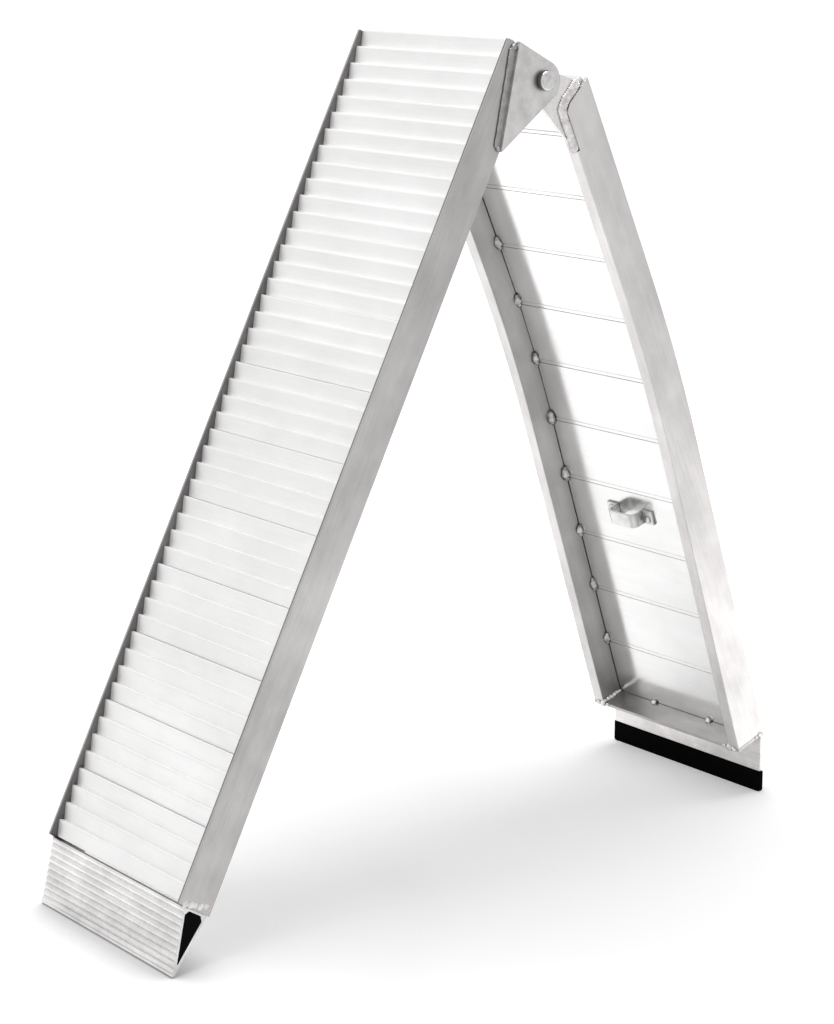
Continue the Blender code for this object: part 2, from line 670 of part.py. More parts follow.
def buildHandle(section, steel, planks):
    place = archEmpty("handle_place", HANDLE_STATION - TAILGATE_RAIL_START, section)
    under = -DECK_UNDERSIDE + ARCH_CROWN - GAP
    outline = [(HANDLE_Y + y, under - z) for y, z in handleOutline()]
    stations = [axesMatrix((x, 0, 0), (0, 1, 0), (0, 0, 1)) for x in (-HANDLE_WIDTH / 2, HANDLE_WIDTH / 2)]
    handle = extrusion("strap_handle", [outline], stations, steel, place, True)
    host = planks[HANDLE_PLANK]
    hole, depth, head = SCREW_HOLE_RADIUS, SCREW_HOLE_DEPTH, SCREW_HEAD_HEIGHT
    drilled = [(0, -HANDLE_HEIGHT), (hole, -HANDLE_HEIGHT), (hole, depth), (0, depth)]
    screw = [(SCREW_HEAD_RADIUS * across, -GAP - head * up) for across, up in SCREW_DOME]
    screw += [(SCREW_SHANK_RADIUS, -GAP)]
    screw += [(SCREW_SHANK_RADIUS, SCREW_SHANK_LENGTH - GAP), (0, SCREW_SHANK_LENGTH)]
    for label, side in SIDES.items():
        centre = (-side * SCREW_STAGGER, HANDLE_Y + side * SCREW_OFFSET, under - HANDLE_THICKNESS)
        drill = turned(f"screw_drill_{label}", drilled, UPWARD, place, centre, steel)
        cut(handle, drill)
        cut(host, drill)
        turned(f"handle_screw_{label}", screw, UPWARD, place, centre, steel)


def buildRamp():
    clearScene()
    aluminium = makeMaterial("mill_aluminium", (0.80, 0.80, 0.80), 0.35, 1.0)
    plateAluminium = makeMaterial("plate_aluminium", (0.70, 0.70, 0.71), 0.42, 1.0)
    zinc = makeMaterial("zinc_steel", (0.62, 0.63, 0.65), 0.3, 1.0)
    black = makeMaterial("black_plastic", (0.015, 0.015, 0.016), 0.5, 0.0)
    rubber = makeMaterial("black_rubber", (0.012, 0.012, 0.012), 0.75, 0.0)
    pinHeight, tailgateTilt = sectionTilts()
    left, right = footSpread(tailgateTilt)
    pin = (-(left + right) / 2, 0, pinHeight)
    ground = makeEmpty("ground_section", pin)
    ground.rotation_euler = Matrix(
        (
            (-math.sin(GROUND_TILT), 0, -math.cos(GROUND_TILT)),
            (0, -1, 0),
            (-math.cos(GROUND_TILT), 0, math.sin(GROUND_TILT)),
        )
    ).to_euler()
    tailgate = makeEmpty("tailgate_section", pin)
    tailgate.rotation_euler = (0, math.pi / 2 - tailgateTilt, 0)
    buildGroundRails(ground, aluminium)
    buildGroundDeck(ground, aluminium)
    buildWedge(ground, aluminium, black)
    buildHingePlates(ground, tailgate, plateAluminium)
    buildHingeHardware(ground, zinc)
    buildTailgateRails(tailgate, aluminium)
    planks = buildTailgateDeck(tailgate, aluminium)
    buildTailgateEnd(tailgate, aluminium, rubber)
    buildHandle(tailgate, zinc, planks)
    print("pin", pin, "tilts", math.degrees(GROUND_TILT), math.degrees(tailgateTilt))


buildRamp()
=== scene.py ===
import json
import math

import bmesh
import bpy
from mathutils import Matrix, Vector, noise


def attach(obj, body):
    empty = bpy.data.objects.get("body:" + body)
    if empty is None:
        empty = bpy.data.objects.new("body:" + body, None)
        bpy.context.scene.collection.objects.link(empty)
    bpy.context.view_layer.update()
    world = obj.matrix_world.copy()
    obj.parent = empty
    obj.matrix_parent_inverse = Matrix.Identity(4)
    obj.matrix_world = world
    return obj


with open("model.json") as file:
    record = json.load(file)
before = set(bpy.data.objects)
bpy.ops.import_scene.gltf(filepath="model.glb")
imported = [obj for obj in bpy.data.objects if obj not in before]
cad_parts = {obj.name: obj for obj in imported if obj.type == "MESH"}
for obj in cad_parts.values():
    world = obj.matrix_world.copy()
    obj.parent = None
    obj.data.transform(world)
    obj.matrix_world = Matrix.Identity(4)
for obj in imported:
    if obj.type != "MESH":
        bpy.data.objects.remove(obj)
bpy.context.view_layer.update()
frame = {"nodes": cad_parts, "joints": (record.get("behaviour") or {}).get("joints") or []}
nodes = frame["nodes"]
sides = {"near": -1, "far": 1}

# sizes in metres; in a section's own frame x runs down it from the pin and z out of its deck
ramp = {
    "pin": Vector(frame["joints"][0]["pos_m"]),
    "width": 0.305,
    "pinBelowDeck": 0.073,
    "groundTilt": math.radians(27.22),
    "tailgateTilt": math.radians(24.407),
    "railDepth": 0.052,
    "railWidth": 0.020,
    "deckUnderside": 0.0143,
    "plankPitch": 0.0951,
    "groundRailStart": -0.023,
    "groundRailEnd": 1.1151,
    "tailgateRailStart": 0.0332,
    "tailgateRailLength": 1.028,
    "archStart": 0.300,
    "archLength": 0.250,
    "archAngle": math.radians(6.06),
}
half = ramp["width"] / 2


def sectionMatrix(alongAxis, deckAxis):
    acrossAxis = deckAxis.cross(alongAxis)
    turn = Matrix((alongAxis, acrossAxis, deckAxis)).transposed().to_4x4()
    return Matrix.Translation(ramp["pin"]) @ turn


groundTilt, tailgateTilt = ramp["groundTilt"], ramp["tailgateTilt"]
groundFrame = sectionMatrix(
    Vector((-math.sin(groundTilt), 0, -math.cos(groundTilt))),
    Vector((-math.cos(groundTilt), 0, math.sin(groundTilt))),
)
tailgateFrame = sectionMatrix(
    Vector((math.sin(tailgateTilt), 0, -math.cos(tailgateTilt))),
    Vector((math.cos(tailgateTilt), 0, math.sin(tailgateTilt))),
)


def onGround(along, side, across, height):
    # along from the rail's hinge end, height from the deck line
    x = ramp["groundRailStart"] + along
    return groundFrame @ Vector((x, -side * across, ramp["pinBelowDeck"] + height))


def onTailgate(along, side, across, height):
    # the same on the arched section
    radius = ramp["archLength"] / ramp["archAngle"]
    straight = min(along, ramp["archStart"])
    bend = min(max(along - ramp["archStart"], 0), ramp["archLength"])
    beyond = max(along - ramp["archStart"] - ramp["archLength"], 0)
    angle = bend / radius
    x = ramp["tailgateRailStart"] + straight + radius * math.sin(angle) + beyond * math.cos(angle)
    z = ramp["pinBelowDeck"] - radius * (1 - math.cos(angle)) - beyond * math.sin(angle)
    x += height * math.sin(angle)
    z += height * math.cos(angle)
    return tailgateFrame @ Vector((x, side * across, z))


# shader helpers

def newMaterial(name):
    material = bpy.data.materials.new(name)
    material.use_nodes = True
    tree = material.node_tree
    return material, tree, tree.nodes["Principled BSDF"]


def addNode(tree, kind, **inputs):
    node = tree.nodes.new(kind)
    for key, value in inputs.items():
        node.inputs[key.replace("_", " ")].default_value = value
    return node


def feed(tree, slot, value):
    # another node's output is linked, a plain value is set
    if isinstance(value, bpy.types.NodeSocket):
        tree.links.new(value, slot)
    else:
        slot.default_value = value


def combine(tree, operation, first, second=0.0):
    node = tree.nodes.new("ShaderNodeMath")
    node.operation = operation
    feed(tree, node.inputs[0], first)
    feed(tree, node.inputs[1], second)
    return node.outputs["Value"]


def vectorMath(tree, operation, first, second=(0, 0, 0)):
    node = tree.nodes.new("ShaderNodeVectorMath")
    node.operation = operation
    feed(tree, node.inputs[0], first)
    feed(tree, node.inputs[1], second)
    return node


def scaled(tree, colour, share):
    node = vectorMath(tree, "SCALE", colour)
    feed(tree, node.inputs["Scale"], share)
    return node.outputs["Vector"]


def separate(tree, vector):
    split = tree.nodes.new("ShaderNodeSeparateXYZ")
    tree.links.new(vector, split.inputs["Vector"])
    return split.outputs


def spread(tree, value, low, high, fromLow=0.3, fromHigh=0.7):
    node = tree.nodes.new("ShaderNodeMapRange")
    node.inputs["From Min"].default_value = fromLow
    node.inputs["From Max"].default_value = fromHigh
    node.inputs["To Min"].default_value = low
    node.inputs["To Max"].default_value = high
    tree.links.new(value, node.inputs["Value"])
    return node.outputs["Result"]


def oneMinus(tree, value):
    return combine(tree, "SUBTRACT", 1.0, value)


def sectionCoordinates(tree, section):
    # x down the section, y across it, z out of its deck, from the pin
    coordinate = tree.nodes.new("ShaderNodeTexCoord")
    mapping = tree.nodes.new("ShaderNodeMapping")
    mapping.vector_type = "TEXTURE"
    mapping.inputs["Location"].default_value = section.to_translation()
    mapping.inputs["Rotation"].default_value = section.to_euler()
    tree.links.new(coordinate.outputs["Object"], mapping.inputs["Vector"])
    return mapping.outputs["Vector"]


def noiseOn(tree, section, stretch, scale, detail, rough):
    squeeze = addNode(tree, "ShaderNodeMapping", Scale=stretch)
    texture = addNode(tree, "ShaderNodeTexNoise", Scale=scale, Detail=detail, Roughness=rough)
    tree.links.new(sectionCoordinates(tree, section), squeeze.inputs["Vector"])
    tree.links.new(squeeze.outputs["Vector"], texture.inputs["Vector"])
    return texture.outputs["Fac"]


# what all the metal shares: drawn lines, clouded stains, where its tones begin and end, and the ranges
# and samples of its painted shade
metalSkin = {
    "fineScale": 900.0,
    "fineDetail": 2.0,
    "fineRough": 0.7,
    "fineWeight": 0.30,
    "cloudDetail": 6.0,
    "cloudRough": 0.62,
    "cloudWeight": 0.70,
    "cloudDraw": 0.4,
    "darkAt": 0.37,
    "lightAt": 0.63,
    "blueLoss": 0.004,
    "glossSpread": 0.06,
    "cornerShadeRange": (0.35, 0.9),
    "cornerShadeSamples": 8,
    "edgeShadeRange": (0.90, 0.995),
    "sideShadeRange": (0.25, 0.7),
}


def colourBetween(tree, value, dark, light):
    blend = tree.nodes.new("ShaderNodeValToRGB")
    blend.color_ramp.elements[0].position = metalSkin["darkAt"]
    blend.color_ramp.elements[0].color = (*dark, 1)
    blend.color_ramp.elements[1].position = metalSkin["lightAt"]
    blend.color_ramp.elements[1].color = (*light, 1)
    tree.links.new(value, blend.inputs["Fac"])
    return blend.outputs["Color"]


def paintedCornerShade(tree, reach, least):
    # painted shade where pieces meet and in hollows, down to this share of the colour
    cornerShade = addNode(tree, "ShaderNodeAmbientOcclusion", Distance=reach)
    cornerShade.samples = metalSkin["cornerShadeSamples"]
    return spread(tree, cornerShade.outputs["AO"], least, 1.0, *metalSkin["cornerShadeRange"])


def paintedEdgeShade(tree, radius, least):
    # a thin dark line of painted shade along the sawn and rolled edges
    edgeShade = addNode(tree, "ShaderNodeBevel", Radius=radius)
    surface = tree.nodes.new("ShaderNodeNewGeometry")
    turned = vectorMath(tree, "DOT_PRODUCT", edgeShade.outputs["Normal"], surface.outputs["Normal"])
    return spread(tree, turned.outputs["Value"], least, 1.0, *metalSkin["edgeShadeRange"])


def paintedSideShade(tree, least):
    # painted shade on faces that turn away from y, such as the sides of round heads
    surface = tree.nodes.new("ShaderNodeNewGeometry")
    facing = combine(tree, "ABSOLUTE", separate(tree, surface.outputs["True Normal"])["Y"])
    return spread(tree, facing, least, 1.0, *metalSkin["sideShadeRange"])


def placeShare(tree, section, limits, share):
    # a darker band for painted shade and for the dark joint at the wedge: limits are axis, side of the
    # limit, distance
    place = separate(tree, sectionCoordinates(tree, section))
    inside = 1.0
    for axis, side, limit in limits:
        value = place[axis]
        if axis == "Y":
            value = combine(tree, "ABSOLUTE", value)
        inside = combine(tree, "MULTIPLY", inside, combine(tree, side, value, limit))
    return oneMinus(tree, combine(tree, "MULTIPLY", inside, 1 - share))


def seamShare(tree, section, first, width, share):
    # a thin dark line in each joint between two planks
    along = separate(tree, sectionCoordinates(tree, section))["X"]
    beyond = combine(tree, "SUBTRACT", along, first - width / 2)
    planks = combine(tree, "DIVIDE", beyond, ramp["plankPitch"])
    within = combine(tree, "MULTIPLY", combine(tree, "FRACT", planks), ramp["plankPitch"])
    dark = combine(tree, "LESS_THAN", within, width)
    return oneMinus(tree, combine(tree, "MULTIPLY", dark, 1 - share))


def addBump(tree, shader, height, distance, before=None):
    bump = addNode(tree, "ShaderNodeBump", Distance=distance, Strength=1.0)
    tree.links.new(height, bump.inputs["Height"])
    if before is not None:
        tree.links.new(before, bump.inputs["Normal"])
    tree.links.new(bump.outputs["Normal"], shader.inputs["Normal"])


def aluminium(
    name, section, grain, tones, roughness, cornerShade, edgeShade,
    bands=(), lines=0.00002, warm=0.972, patch=9.0, dome=0.0009, wall=1.0, seams=None, metal=1.0,
):
    # tones are the darkest and lightest stain; corner and edge shade each take a reach and the least
    # share of the colour
    material, tree, shader = newMaterial(name)
    skin = metalSkin
    shader.inputs["Metallic"].default_value = metal
    clouded = tuple(0.5 + 0.5 * g ** skin["cloudDraw"] for g in grain)  # less drawn out than the lines
    fine = noiseOn(tree, section, grain, skin["fineScale"], skin["fineDetail"], skin["fineRough"])
    cloud = noiseOn(tree, section, clouded, patch, skin["cloudDetail"], skin["cloudRough"])
    tone = combine(
        tree, "ADD",
        combine(tree, "MULTIPLY", fine, skin["fineWeight"]),
        combine(tree, "MULTIPLY", cloud, skin["cloudWeight"]),
    )
    dark, light = ((level, level * warm, level * (warm - skin["blueLoss"])) for level in tones)
    # the colour takes painted shade in corners, along edges, on the sides of round heads and in bands,
    # and dark joints between planks and at the wedge
    share = combine(tree, "MULTIPLY", paintedCornerShade(tree, *cornerShade), paintedEdgeShade(tree, *edgeShade))
    if seams:
        share = combine(tree, "MULTIPLY", share, seamShare(tree, section, *seams))
    if wall < 1:
        share = combine(tree, "MULTIPLY", share, paintedSideShade(tree, wall))
    for limits, least in bands:
        share = combine(tree, "MULTIPLY", share, placeShare(tree, section, limits, least))
    colour = scaled(tree, colourBetween(tree, tone, dark, light), share)
    tree.links.new(colour, shader.inputs["Base Color"])
    gloss = spread(tree, tone, roughness + skin["glossSpread"], roughness - skin["glossSpread"])
    tree.links.new(gloss, shader.inputs["Roughness"])
    softened = addNode(tree, "ShaderNodeBevel", Radius=dome)
    addBump(tree, shader, fine, lines, softened.outputs["Normal"])
    return material


# what the black pieces share: a fine speckle and hardly any gloss
blackSkin = {
    "detail": 4.0,
    "rough": 0.6,
    "darkest": 0.6,
    "lightest": 1.6,
    "glossSpread": 0.08,
    "specular": 0.03,
}


def softBlack(name, tone, roughness, scale, depth):
    material, tree, shader = newMaterial(name)
    skin = blackSkin
    speck = noiseOn(tree, wholeFrame, allWays, scale, skin["detail"], skin["rough"])
    dark, light = ((tone * level,) * 3 for level in (skin["darkest"], skin["lightest"]))
    tree.links.new(colourBetween(tree, speck, dark, light), shader.inputs["Base Color"])
    shader.inputs["Specular IOR Level"].default_value = skin["specular"]
    gloss = spread(tree, speck, roughness - skin["glossSpread"], roughness + skin["glossSpread"])
    tree.links.new(gloss, shader.inputs["Roughness"])
    addBump(tree, shader, speck, depth)
    return material


# the lines and stains are drawn out along x or y of the section's frame, or not at all
wholeFrame = Matrix.Identity(4)
alongX, alongY, allWays = (0.01, 1, 1), (1, 0.01, 1), (1, 1, 1)
noEdgeShade = (0.0002, 1.0)
# the bands of painted shade on the rails' inner faces and beside the teeth, and the dark joint at the
# wedge, end just past the faces that they belong to
shadeAndJointBands = {
    "shadedInnerFace": [("Y", "LESS_THAN", half - ramp["railWidth"] + 0.0006)],
    "shadeBesideTeeth": [
        ("Y", "LESS_THAN", half - 0.0026),
        ("Z", "GREATER_THAN", ramp["pinBelowDeck"] - 0.0140),
    ],
    "wedgeJoint": [("X", "LESS_THAN", ramp["groundRailEnd"] + 0.0030)],
}

finishes = {
    "groundRail": aluminium(
        "rail extrusion, ground", groundFrame, alongX,
        # darker tones than the tailgate rail's, though both are one extrusion, and the bands beside the
        # teeth and on the inner face: painted shade
        tones=(0.43, 0.57), roughness=0.33, cornerShade=(0.012, 0.6), edgeShade=(0.0011, 0.55),
        bands=[(shadeAndJointBands["shadeBesideTeeth"], 0.42), (shadeAndJointBands["shadedInnerFace"], 0.7)], patch=16.0,
    ),
    "tailgateRail": aluminium(
        "rail extrusion, tailgate", tailgateFrame, alongX,
        tones=(0.59, 0.76), roughness=0.33, cornerShade=(0.030, 0.66), edgeShade=(0.0011, 0.6),
        bands=[(shadeAndJointBands["shadedInnerFace"], 0.71)], patch=16.0,
    ),
    "groundPlank": aluminium(
        "plank extrusion, ground", groundFrame, alongY,
        tones=(0.86, 0.94), roughness=0.50, cornerShade=(0.002, 0.97), edgeShade=(0.0004, 0.97),
        warm=0.996, seams=(-0.0263, 0.0011, 0.80), metal=0.60,
    ),
    "tailgatePlank": aluminium(
        "plank extrusion, tailgate", tailgateFrame, alongY,
        tones=(0.82, 0.90), roughness=0.17, cornerShade=(0.030, 0.80), edgeShade=(0.0006, 0.85), warm=0.995,
    ),
    "wedge": aluminium(
        "wedge extrusion", groundFrame, alongY,
        tones=(0.60, 0.83), roughness=0.22, cornerShade=(0.003, 0.40), edgeShade=(0.0006, 0.80),
        bands=[(shadeAndJointBands["wedgeJoint"], 0.25)], lines=0.00005, warm=0.985, patch=30.0,
    ),
    "endPlate": aluminium(
        "end plate", tailgateFrame, alongY,
        tones=(0.45, 0.56), roughness=0.30, cornerShade=(0.030, 0.88), edgeShade=(0.0010, 0.8), patch=30.0,
    ),
    "lip": aluminium(
        "lip plate", tailgateFrame, alongY,
        tones=(0.66, 0.90), roughness=0.30, cornerShade=(0.020, 0.55), edgeShade=(0.0010, 0.8), patch=30.0,
    ),
    "plate": aluminium(
        "sawn plate", wholeFrame, allWays,
        tones=(0.58, 0.78), roughness=0.38, cornerShade=(0.006, 0.72), edgeShade=(0.0012, 0.50),
        lines=0.00003, patch=45.0,
    ),
    "innerPlate": aluminium(
        "sawn inner plate", wholeFrame, allWays,
        tones=(0.72, 0.92), roughness=0.38, cornerShade=(0.006, 0.66), edgeShade=(0.0012, 0.60),
        lines=0.00003, patch=45.0,
    ),
    # the bolt's head takes painted shade on its sides
    "bolt": aluminium(
        "bright zinc, bolt", wholeFrame, allWays,
        tones=(0.56, 0.80), roughness=0.24, cornerShade=(0.004, 0.5), edgeShade=(0.0008, 0.7),
        warm=1.006, patch=150.0, dome=0.0032, wall=0.16,
    ),
    "zinc": aluminium(
        "bright zinc", wholeFrame, allWays,
        tones=(0.66, 0.86), roughness=0.24, cornerShade=(0.006, 0.50), edgeShade=(0.0008, 0.88),
        warm=1.006, patch=60.0,
    ),
    "handle": aluminium(
        "bright zinc, handle", wholeFrame, allWays,
        tones=(0.60, 0.84), roughness=0.30, cornerShade=(0.018, 0.28), edgeShade=(0.0006, 0.86),
        warm=1.0, patch=60.0,
    ),
    "weld": aluminium(
        "weld metal", wholeFrame, allWays,
        tones=(0.52, 0.98), roughness=0.24, cornerShade=(0.006, 0.30), edgeShade=noEdgeShade, lines=0.0001, patch=160.0,
    ),
    "seamWeld": aluminium(
        "weld at the seams", wholeFrame, allWays,
        tones=(0.34, 0.78), roughness=0.34, cornerShade=(0.007, 0.20), edgeShade=noEdgeShade, lines=0.0003, patch=150.0,
    ),
    "plateWeld": aluminium(
        "weld at the plate", wholeFrame, allWays,
        tones=(0.58, 0.93), roughness=0.58, cornerShade=(0.004, 0.7), edgeShade=noEdgeShade, lines=0.0003, patch=120.0,
    ),
    "groundWeld": aluminium(
        "ground-back weld", wholeFrame, allWays,
        tones=(0.31, 0.46), roughness=0.50, cornerShade=(0.003, 0.85), edgeShade=noEdgeShade, lines=0.0003, patch=90.0,
    ),
    "rubber": softBlack("black rubber", 0.0012, 0.8, 600.0, 0.00015),
    "plug": softBlack("black moulded plastic", 0.0026, 0.6, 900.0, 0.0001),
}

# the start of the solids' names, and the finish they take
dressed = {
    "ground_rail": "groundRail",
    "tailgate_rail": "tailgateRail",
    "ground_plank": "groundPlank",
    "tailgate_plank": "tailgatePlank",
    "ground_foot_wedge": "wedge",
    "tailgate_end_plate": "endPlate",
    "tailgate_lip": "lip",
    "ground_hinge_plate": "plate",
    "tailgate_hinge_plate": "innerPlate",
    "pivot_bolt": "bolt",
    "spacer_washer": "zinc",
    "inner_washer": "zinc",
    "lock_nut": "zinc",
    "strap_handle": "handle",
    "handle_screw": "zinc",
    "lip_rubber": "rubber",
    "wedge_plug": "plug",
}
for start, finish in dressed.items():
    for name, node in nodes.items():
        if name.startswith(start):
            node.data.materials.clear()
            node.data.materials.append(finishes[finish])
print("materials on the ramp")


# weld beads and puddles
bead = {
    "sides": 10,
    "step": 0.0011,
    "reach": 2,
    "ripple": 3.0,
    "swell": 0.10,
    "wander": 0.08,
    "wanderScale": 160,
    "endShare": 0.35,
    "endRings": 3,
}
puddle = {"uneven": 0.42, "unevenScale": 230, "sunk": 0.0012}


def resample(points, step):
    spaced = [Vector(points[0])]
    for start, end in zip(points, points[1:]):
        start, end = Vector(start), Vector(end)
        count = max(1, round((end - start).length / step))
        spaced += [start.lerp(end, (i + 1) / count) for i in range(count)]
    return spaced


def addBead(bm, points, out, width, height):
    # rings along the line, drawn on from the first one's cap
    places = resample(points, bead["step"])
    last = len(places) - 1
    reach = bead["reach"]
    before, ring = None, None
    for i, place in enumerate(places):
        ahead = (places[min(i + reach, last)] - places[max(i - reach, 0)]).normalized()
        across = out.cross(ahead).normalized()
        up = ahead.cross(across)
        ends = min(1.0, bead["endShare"] + (1 - bead["endShare"]) * min(i, last - i) / bead["endRings"])
        pulse = 1 + bead["swell"] * math.sin(math.tau * i / bead["ripple"])
        pulse += bead["wander"] * noise.noise(place * bead["wanderScale"])
        size = Matrix.Diagonal((width / 2 * pulse * ends, height * pulse * ends, 1, 1))
        turn = Matrix((across, up, ahead)).transposed().to_4x4()
        here = Matrix.Translation(place) @ turn @ size
        if ring is None:
            first = bmesh.ops.create_circle(
                bm, cap_ends=True, segments=bead["sides"], radius=1, matrix=here
            )
            ring = first["verts"]
        else:
            face = next(f for f in ring[0].link_faces if all(v in f.verts for v in ring))
            made = bmesh.ops.extrude_face_region(bm, geom=[face])["geom"]
            bmesh.ops.delete(bm, geom=[face], context="FACES_KEEP_BOUNDARY")
            ring = [v for v in made if isinstance(v, bmesh.types.BMVert)]
            bmesh.ops.transform(bm, matrix=here @ before.inverted(), verts=ring)
        before = here


def addBlob(bm, place, out, size, height, walls=()):
    # a short puddle of weld, a squashed ball with an uneven skin that stops at the metal it joins
    turn = out.to_track_quat("Z", "Y").to_matrix().to_4x4()
    ball = bmesh.ops.create_icosphere(bm, subdivisions=2, radius=1)["verts"]
    here = Matrix.Translation(place) @ turn @ Matrix.Diagonal((size / 2, size / 2, height, 1))
    bmesh.ops.transform(bm, matrix=here, verts=ball)
    for vert in ball:
        vert.co += (vert.co - place) * puddle["uneven"] * noise.noise(vert.co * puddle["unevenScale"])
        for wall in walls:
            deep = (vert.co - place).dot(wall) - puddle["sunk"]
            if deep > 0:
                vert.co -= wall * deep


def addObject(name, bm):
    mesh = bpy.data.meshes.new(name)
    bm.to_mesh(mesh)
    bm.free()
    made = bpy.data.objects.new(name, mesh)
    bpy.context.scene.collection.objects.link(made)
    return made


def finishPiece(name, bm, finish, body):
    bmesh.ops.remove_doubles(bm, verts=bm.verts, dist=1e-6)
    bmesh.ops.recalc_face_normals(bm, faces=bm.faces)
    piece = addObject(name, bm)
    piece.data.shade_smooth()
    piece.data.materials.append(finishes[finish])
    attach(piece, body)


# a direction is taken between two points, this far below the deck or back from its end
apart = {"down": (0.02, 0.03), "back": (0.01, 0.02)}


def downFrom(place, along, side, across):
    # out of the deck's underside
    high, low = (place(along, side, across, -depth) for depth in apart["down"])
    return (low - high).normalized()


# the hinge plates' welds: along from the rail's hinge end, and height from the deck line
hingeWelds = {
    "groundLine": [(0.0055, -0.0125), (0.129, -0.0468)],
    "groundProud": 0.0012,
    "groundWidth": 0.0150,
    "groundHeight": 0.0014,
    "endSize": 0.008,
    "endHeight": 0.0034,
    "chevron": [
        (-0.0030, -0.0150), (0.003, -0.026), (0.0095, -0.043), (0.018, -0.0535),
        (0.032, -0.0545), (0.053, -0.0535), (0.0795, -0.0540),
    ],
    "chevronInset": 0.0025,
    "chevronWidth": 0.0152,
    "chevronHeight": 0.0025,
}
for label, side in sides.items():
    outward = Vector((0, side, 0))
    across = half + hingeWelds["groundProud"]
    line = [onGround(along, side, across, height) for along, height in hingeWelds["groundLine"]]
    bm = bmesh.new()
    addBead(bm, line, outward, hingeWelds["groundWidth"], hingeWelds["groundHeight"])
    for end in line:
        addBlob(bm, end, outward, hingeWelds["endSize"], hingeWelds["endHeight"])
    finishPiece(f"ground_plate_weld_{label}", bm, "groundWeld", "ground_section")
    across = half - hingeWelds["chevronInset"]
    line = [onTailgate(along, side, across, height) for along, height in hingeWelds["chevron"]]
    bm = bmesh.new()
    addBead(bm, line, outward, hingeWelds["chevronWidth"], hingeWelds["chevronHeight"])
    finishPiece(f"tailgate_plate_weld_{label}", bm, "plateWeld", "tailgate_section")
print("hinge welds")

# three drops run together at each plank's seam, in the corner between deck and rail
seamWelds = {
    "sections": [
        ("tailgate_section", onTailgate, 0.0768, 10),
        ("ground_section", onGround, 0.0919, 11),
    ],
    "size": 0.0176,
    "height": 0.0072,
    "drops": [(0.0, 1.0), (-0.0048, 0.66), (0.0058, 0.70)],
    "wander": 0.003,
    "wanderSeed": (3.7, 5.3, 0.0),
    "sizeSpread": 0.35,
    "sizeSeed": (2.3, 1.7, 4.1),
}


def uneven(i, side, seed):
    # a steady value from -1 to 1 for each seam and side
    return noise.noise(Vector((i * seed[0], side * seed[1], seed[2])))


for body, place, first, count in seamWelds["sections"]:
    bm = bmesh.new()
    for side in sides.values():
        beside = Vector((0, side, 0))
        for i in range(count):
            wander = seamWelds["wander"] * uneven(i, side, seamWelds["wanderSeed"])
            share = 1 + seamWelds["sizeSpread"] * uneven(i, side, seamWelds["sizeSeed"])
            middle = first + i * ramp["plankPitch"] + wander
            down = downFrom(place, middle, side, half)
            for step, part in seamWelds["drops"]:
                drop = place(middle + step, side, half - ramp["railWidth"], -ramp["deckUnderside"])
                size, height = seamWelds["size"] * part * share, seamWelds["height"] * part * share
                addBlob(bm, drop, (down - beside).normalized(), size, height, (-down, beside))
    finishPiece(body.replace("section", "seam_welds"), bm, "seamWeld", body)
print("seam welds")

# the end plate: two dots along the deck, a fillet up each rail, and drops at its outer corners
endWelds = {
    "dots": (-0.058, 0.058),
    "dotSize": 0.013,
    "dotHeight": 0.005,
    "dotSunk": 0.0005,
    "filletShares": (0.02, 0.2, 0.4, 0.58, 0.8, 0.98),
    "filletSize": 0.011,
    "filletHeight": 0.0046,
    "filletFromDeck": 0.002,
    "filletFromEdge": 0.003,
    "drops": [
        (0.010, 0.052, 0.009), (0.019, 0.052, 0.011), (0.029, 0.052, 0.008),
        (0, 0.006, 0.008), (0, 0.014, 0.006),
    ],
    "dropAlong": 0.0022,
    "dropThickness": 0.3,
}
endAlong = ramp["tailgateRailLength"]
downward = downFrom(onTailgate, endAlong, 1, 0)
nearer, further = (onTailgate(endAlong - back, 1, 0, 0) for back in apart["back"])
backward = (further - nearer).normalized()
bm = bmesh.new()
for across in endWelds["dots"]:
    place = onTailgate(endAlong, 1, across, -ramp["deckUnderside"] - endWelds["dotSunk"])
    out = (downward + backward).normalized()
    addBlob(bm, place, out, endWelds["dotSize"], endWelds["dotHeight"], (-downward, -backward))
for side in sides.values():
    beside = Vector((0, side, 0))
    inward = (backward - beside).normalized()
    across = half - ramp["railWidth"]
    top = onTailgate(endAlong, side, across, -ramp["deckUnderside"] - endWelds["filletFromDeck"])
    bottom = onTailgate(endAlong, side, across, -ramp["railDepth"] + endWelds["filletFromEdge"])
    for share in endWelds["filletShares"]:
        place = top.lerp(bottom, share)
        addBlob(bm, place, inward, endWelds["filletSize"], endWelds["filletHeight"], (-backward, beside))
for side in sides.values():
    beside = Vector((0, side, 0))
    for inset, height, size in endWelds["drops"]:
        place = onTailgate(endAlong + endWelds["dropAlong"], side, half - inset, -height)
        out = beside if inset == 0 else downward
        addBlob(bm, place, out, size, size * endWelds["dropThickness"], (-out,))
finishPiece("end_plate_welds", bm, "weld", "tailgate_section")
print("end plate welds")

# the wedge's row of spots on the rails' outside: back from the rail's end, and height
wedgeWelds = {
    "top": (0.0010, -0.0100),
    "bottom": (0.0052, -0.0455),
    "inset": 0.0006,
    "shares": (0.0, 0.2, 0.42, 0.66, 0.9),
    "size": 0.0098,
    "height": 0.0017,
}
footAlong = ramp["groundRailEnd"] - ramp["groundRailStart"]
bm = bmesh.new()
for side in sides.values():
    beside = Vector((0, side, 0))
    top, bottom = (
        onGround(footAlong - back, side, half - wedgeWelds["inset"], height)
        for back, height in (wedgeWelds["top"], wedgeWelds["bottom"])
    )
    for share in wedgeWelds["shares"]:
        addBlob(bm, top.lerp(bottom, share), beside, wedgeWelds["size"], wedgeWelds["height"], (-beside,))
finishPiece("wedge_welds", bm, "plateWeld", "ground_section")
print("wedge welds")


